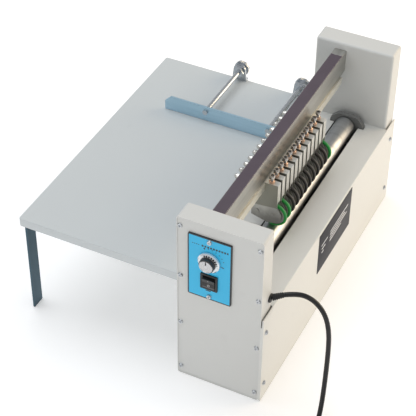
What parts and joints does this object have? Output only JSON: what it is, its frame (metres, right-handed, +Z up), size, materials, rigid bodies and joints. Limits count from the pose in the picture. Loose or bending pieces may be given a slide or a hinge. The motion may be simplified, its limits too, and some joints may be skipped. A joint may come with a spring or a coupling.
{
  "type": "sheet slitting and creasing machine",
  "caption": "Bench-top motor-driven sheet slitter and creaser: feed table with side guide, driven roller under a row of sprung wheel tools, control panel on the end housing.",
  "frame": {"origin": "middle of the base pan's underside, on the floor, between the two end housings", "axes": "+Y along the roller from the control housing to the gear housing, +X the way the sheet travels, +Z up"},
  "size_m": [0.5057, 0.684, 0.305],
  "materials": {
    "paint": "satin",
    "paint_warm": "satin",
    "paint_table": "satin",
    "zinc": "zinc plated",
    "zinc_blue": "blue zinc",
    "steel": "turned",
    "nickel": "plated",
    "beam_steel": "browned top, ground sides",
    "holder_steel": "plain sheet",
    "spring_steel": "spring wire",
    "dark_cast": "blackened",
    "motor_case": "satin",
    "black_plastic": "moulded",
    "panel_blue": "printed panel",
    "clear_knob": "clear skirt, bright insert",
    "black_rubber": "smooth",
    "roller_steel": "ground",
    "tyre_green": "smooth",
    "tyre_black": "smooth"
  },
  "bodies": {
    "root": {"near_housing": "paint", "far_housing": "paint", "near_cover_plate": "paint", "far_cover_plate": "paint", "outlet_cover": "paint_warm", "feed_table": "paint_table", "base_pan": "paint", "table_legs": "zinc", "rod_brackets": "zinc", "cross_beam": "beam_steel", "tool_rail": "steel", "tool_holders": "holder_steel", "holder_bolts": "nickel", "adjusting_screws": "nickel", "press_springs": "spring_steel", "pivot_pins": "nickel", "roller_bearings": "steel", "bearing_brackets": "dark_cast", "gear_motor": "motor_case", "speed_controller": "black_plastic", "control_panel": "panel_blue", "switch_housing": "black_plastic", "frame_screws": "nickel", "cable_gland": "black_rubber", "power_cord": "black_rubber", "cord_coil": "black_rubber", "mains_plug": "black_plastic"},
    "roller": {"drive_roller": "roller_steel", "roller_gear": "steel"},
    "pinion": {"motor_pinion": "steel"},
    "speed_dial": {"speed_knob": "clear_knob"},
    "rocker": {"switch_rocker": "black_plastic"},
    "guide": {"side_guide": "zinc_blue", "guide_rods": "steel"},
    "outer_lock_knob": {"lock_knob_outer": "nickel"},
    "inner_lock_knob": {"lock_knob_inner": "nickel"},
    "tool_arm_01": {"arm_01": "holder_steel"},
    "tool_wheel_01": {"wheel_01": "tyre_green"},
    "tool_arm_02": {"arm_02": "holder_steel"},
    "tool_wheel_02": {"wheel_02": "tyre_green"},
    "tool_arm_03": {"arm_03": "holder_steel"},
    "tool_wheel_03": {"wheel_03": "tyre_black"},
    "tool_arm_04": {"arm_04": "holder_steel"},
    "tool_wheel_04": {"wheel_04": "tyre_black"},
    "tool_arm_05": {"arm_05": "holder_steel"},
    "tool_wheel_05": {"wheel_05": "tyre_black"},
    "tool_arm_06": {"arm_06": "holder_steel"},
    "tool_wheel_06": {"wheel_06": "tyre_black"},
    "tool_arm_07": {"arm_07": "holder_steel"},
    "tool_wheel_07": {"wheel_07": "tyre_black"},
    "tool_arm_08": {"arm_08": "holder_steel"},
    "tool_wheel_08": {"wheel_08": "tyre_black"},
    "tool_arm_09": {"arm_09": "holder_steel"},
    "tool_wheel_09": {"wheel_09": "tyre_black"},
    "tool_arm_10": {"arm_10": "holder_steel"},
    "tool_wheel_10": {"wheel_10": "tyre_black"},
    "tool_arm_11": {"arm_11": "holder_steel"},
    "tool_wheel_11": {"wheel_11": "tyre_black"},
    "tool_arm_12": {"arm_12": "holder_steel"},
    "tool_wheel_12": {"wheel_12": "tyre_green"}
  },
  "joints": [
    {"name": "roller_spin", "type": "hinge", "parent": "root", "child": "roller", "pos_m": [0.002, 0, 0.16303], "axis": [0, 1, 0], "continuous": true},
    {"name": "pinion_spin", "type": "hinge", "parent": "root", "child": "pinion", "pos_m": [0.002, 0.235, 0.09103], "axis": [0, 1, 0], "continuous": true},
    {"name": "speed_dial_turn", "type": "hinge", "parent": "root", "child": "speed_dial", "pos_m": [-0.014, -0.262, 0.243], "axis": [0, 1, 0], "range_deg": [0, 280]},
    {"name": "rocker_tilt", "type": "hinge", "parent": "root", "child": "rocker", "pos_m": [-0.014, -0.2605, 0.2055], "axis": [1, 0, 0], "range_deg": [0, 20]},
    {"name": "guide_slide", "type": "slide", "parent": "root", "child": "guide", "axis": [0, 1, 0], "range_m": [0, 0.1]},
    {"name": "outer_lock_knob_spin", "type": "hinge", "parent": "root", "child": "outer_lock_knob", "pos_m": [-0.197, 0.234, 0.19702], "axis": [0, 1, 0], "continuous": true},
    {"name": "inner_lock_knob_spin", "type": "hinge", "parent": "root", "child": "inner_lock_knob", "pos_m": [-0.087, 0.234, 0.19702], "axis": [0, 1, 0], "continuous": true},
    {"name": "arm_01_lift", "type": "hinge", "parent": "root", "child": "tool_arm_01", "pos_m": [-0.0205, -0.08525, 0.2], "axis": [0, -1, 0], "range_deg": [0, 8], "stiffness_Nm_per_rad": 1, "springref_deg": -5.73, "deforming": ["press_springs"]},
    {"name": "wheel_01_spin", "type": "hinge", "parent": "tool_arm_01", "child": "tool_wheel_01", "pos_m": [0.005, -0.08525, 0.2], "axis": [0, 1, 0], "continuous": true},
    {"name": "arm_02_lift", "type": "hinge", "parent": "root", "child": "tool_arm_02", "pos_m": [-0.0205, -0.06975, 0.2], "axis": [0, -1, 0], "range_deg": [0, 8], "stiffness_Nm_per_rad": 1, "springref_deg": -5.73, "deforming": ["press_springs"]},
    {"name": "wheel_02_spin", "type": "hinge", "parent": "tool_arm_02", "child": "tool_wheel_02", "pos_m": [0.005, -0.06975, 0.2], "axis": [0, 1, 0], "continuous": true},
    {"name": "arm_03_lift", "type": "hinge", "parent": "root", "child": "tool_arm_03", "pos_m": [-0.0205, -0.05425, 0.2], "axis": [0, -1, 0], "range_deg": [0, 8], "stiffness_Nm_per_rad": 1, "springref_deg": -5.73, "deforming": ["press_springs"]},
    {"name": "wheel_03_spin", "type": "hinge", "parent": "tool_arm_03", "child": "tool_wheel_03", "pos_m": [0.005, -0.05425, 0.2], "axis": [0, 1, 0], "continuous": true},
    {"name": "arm_04_lift", "type": "hinge", "parent": "root", "child": "tool_arm_04", "pos_m": [-0.0205, -0.03875, 0.2], "axis": [0, -1, 0], "range_deg": [0, 8], "stiffness_Nm_per_rad": 1, "springref_deg": -5.73, "deforming": ["press_springs"]},
    {"name": "wheel_04_spin", "type": "hinge", "parent": "tool_arm_04", "child": "tool_wheel_04", "pos_m": [0.005, -0.03875, 0.2], "axis": [0, 1, 0], "continuous": true},
    {"name": "arm_05_lift", "type": "hinge", "parent": "root", "child": "tool_arm_05", "pos_m": [-0.0205, -0.02325, 0.2], "axis": [0, -1, 0], "range_deg": [0, 8], "stiffness_Nm_per_rad": 1, "springref_deg": -5.73, "deforming": ["press_springs"]},
    {"name": "wheel_05_spin", "type": "hinge", "parent": "tool_arm_05", "child": "tool_wheel_05", "pos_m": [0.005, -0.02325, 0.2], "axis": [0, 1, 0], "continuous": true},
    {"name": "arm_06_lift", "type": "hinge", "parent": "root", "child": "tool_arm_06", "pos_m": [-0.0205, -0.00775, 0.2], "axis": [0, -1, 0], "range_deg": [0, 8], "stiffness_Nm_per_rad": 1, "springref_deg": -5.73, "deforming": ["press_springs"]},
    {"name": "wheel_06_spin", "type": "hinge", "parent": "tool_arm_06", "child": "tool_wheel_06", "pos_m": [0.005, -0.00775, 0.2], "axis": [0, 1, 0], "continuous": true},
    {"name": "arm_07_lift", "type": "hinge", "parent": "root", "child": "tool_arm_07", "pos_m": [-0.0205, 0.00775, 0.2], "axis": [0, -1, 0], "range_deg": [0, 8], "stiffness_Nm_per_rad": 1, "springref_deg": -5.73, "deforming": ["press_springs"]},
    {"name": "wheel_07_spin", "type": "hinge", "parent": "tool_arm_07", "child": "tool_wheel_07", "pos_m": [0.005, 0.00775, 0.2], "axis": [0, 1, 0], "continuous": true},
    {"name": "arm_08_lift", "type": "hinge", "parent": "root", "child": "tool_arm_08", "pos_m": [-0.0205, 0.02325, 0.2], "axis": [0, -1, 0], "range_deg": [0, 8], "stiffness_Nm_per_rad": 1, "springref_deg": -5.73, "deforming": ["press_springs"]},
    {"name": "wheel_08_spin", "type": "hinge", "parent": "tool_arm_08", "child": "tool_wheel_08", "pos_m": [0.005, 0.02325, 0.2], "axis": [0, 1, 0], "continuous": true},
    {"name": "arm_09_lift", "type": "hinge", "parent": "root", "child": "tool_arm_09", "pos_m": [-0.0205, 0.03875, 0.2], "axis": [0, -1, 0], "range_deg": [0, 8], "stiffness_Nm_per_rad": 1, "springref_deg": -5.73, "deforming": ["press_springs"]},
    {"name": "wheel_09_spin", "type": "hinge", "parent": "tool_arm_09", "child": "tool_wheel_09", "pos_m": [0.005, 0.03875, 0.2], "axis": [0, 1, 0], "continuous": true},
    {"name": "arm_10_lift", "type": "hinge", "parent": "root", "child": "tool_arm_10", "pos_m": [-0.0205, 0.05425, 0.2], "axis": [0, -1, 0], "range_deg": [0, 8], "stiffness_Nm_per_rad": 1, "springref_deg": -5.73, "deforming": ["press_springs"]},
    {"name": "wheel_10_spin", "type": "hinge", "parent": "tool_arm_10", "child": "tool_wheel_10", "pos_m": [0.005, 0.05425, 0.2], "axis": [0, 1, 0], "continuous": true},
    {"name": "arm_11_lift", "type": "hinge", "parent": "root", "child": "tool_arm_11", "pos_m": [-0.0205, 0.06975, 0.2], "axis": [0, -1, 0], "range_deg": [0, 8], "stiffness_Nm_per_rad": 1, "springref_deg": -5.73, "deforming": ["press_springs"]},
    {"name": "wheel_11_spin", "type": "hinge", "parent": "tool_arm_11", "child": "tool_wheel_11", "pos_m": [0.005, 0.06975, 0.2], "axis": [0, 1, 0], "continuous": true},
    {"name": "arm_12_lift", "type": "hinge", "parent": "root", "child": "tool_arm_12", "pos_m": [-0.0205, 0.08525, 0.2], "axis": [0, -1, 0], "range_deg": [0, 8], "stiffness_Nm_per_rad": 1, "springref_deg": -5.73, "deforming": ["press_springs"]},
    {"name": "wheel_12_spin", "type": "hinge", "parent": "tool_arm_12", "child": "tool_wheel_12", "pos_m": [0.005, 0.08525, 0.2], "axis": [0, 1, 0], "continuous": true}
  ],
  "couplings": [
    {"joint": "pinion_spin", "follows": "roller_spin", "ratio": -1.6667},
    {"joint": "wheel_01_spin", "follows": "roller_spin", "ratio": -0.81281},
    {"joint": "wheel_02_spin", "follows": "roller_spin", "ratio": -0.81281},
    {"joint": "wheel_03_spin", "follows": "roller_spin", "ratio": -0.81281},
    {"joint": "wheel_04_spin", "follows": "roller_spin", "ratio": -0.81281},
    {"joint": "wheel_05_spin", "follows": "roller_spin", "ratio": -0.81281},
    {"joint": "wheel_06_spin", "follows": "roller_spin", "ratio": -0.81281},
    {"joint": "wheel_07_spin", "follows": "roller_spin", "ratio": -0.81281},
    {"joint": "wheel_08_spin", "follows": "roller_spin", "ratio": -0.81281},
    {"joint": "wheel_09_spin", "follows": "roller_spin", "ratio": -0.81281},
    {"joint": "wheel_10_spin", "follows": "roller_spin", "ratio": -0.81281},
    {"joint": "wheel_11_spin", "follows": "roller_spin", "ratio": -0.81281},
    {"joint": "wheel_12_spin", "follows": "roller_spin", "ratio": -0.81281}
  ]
}
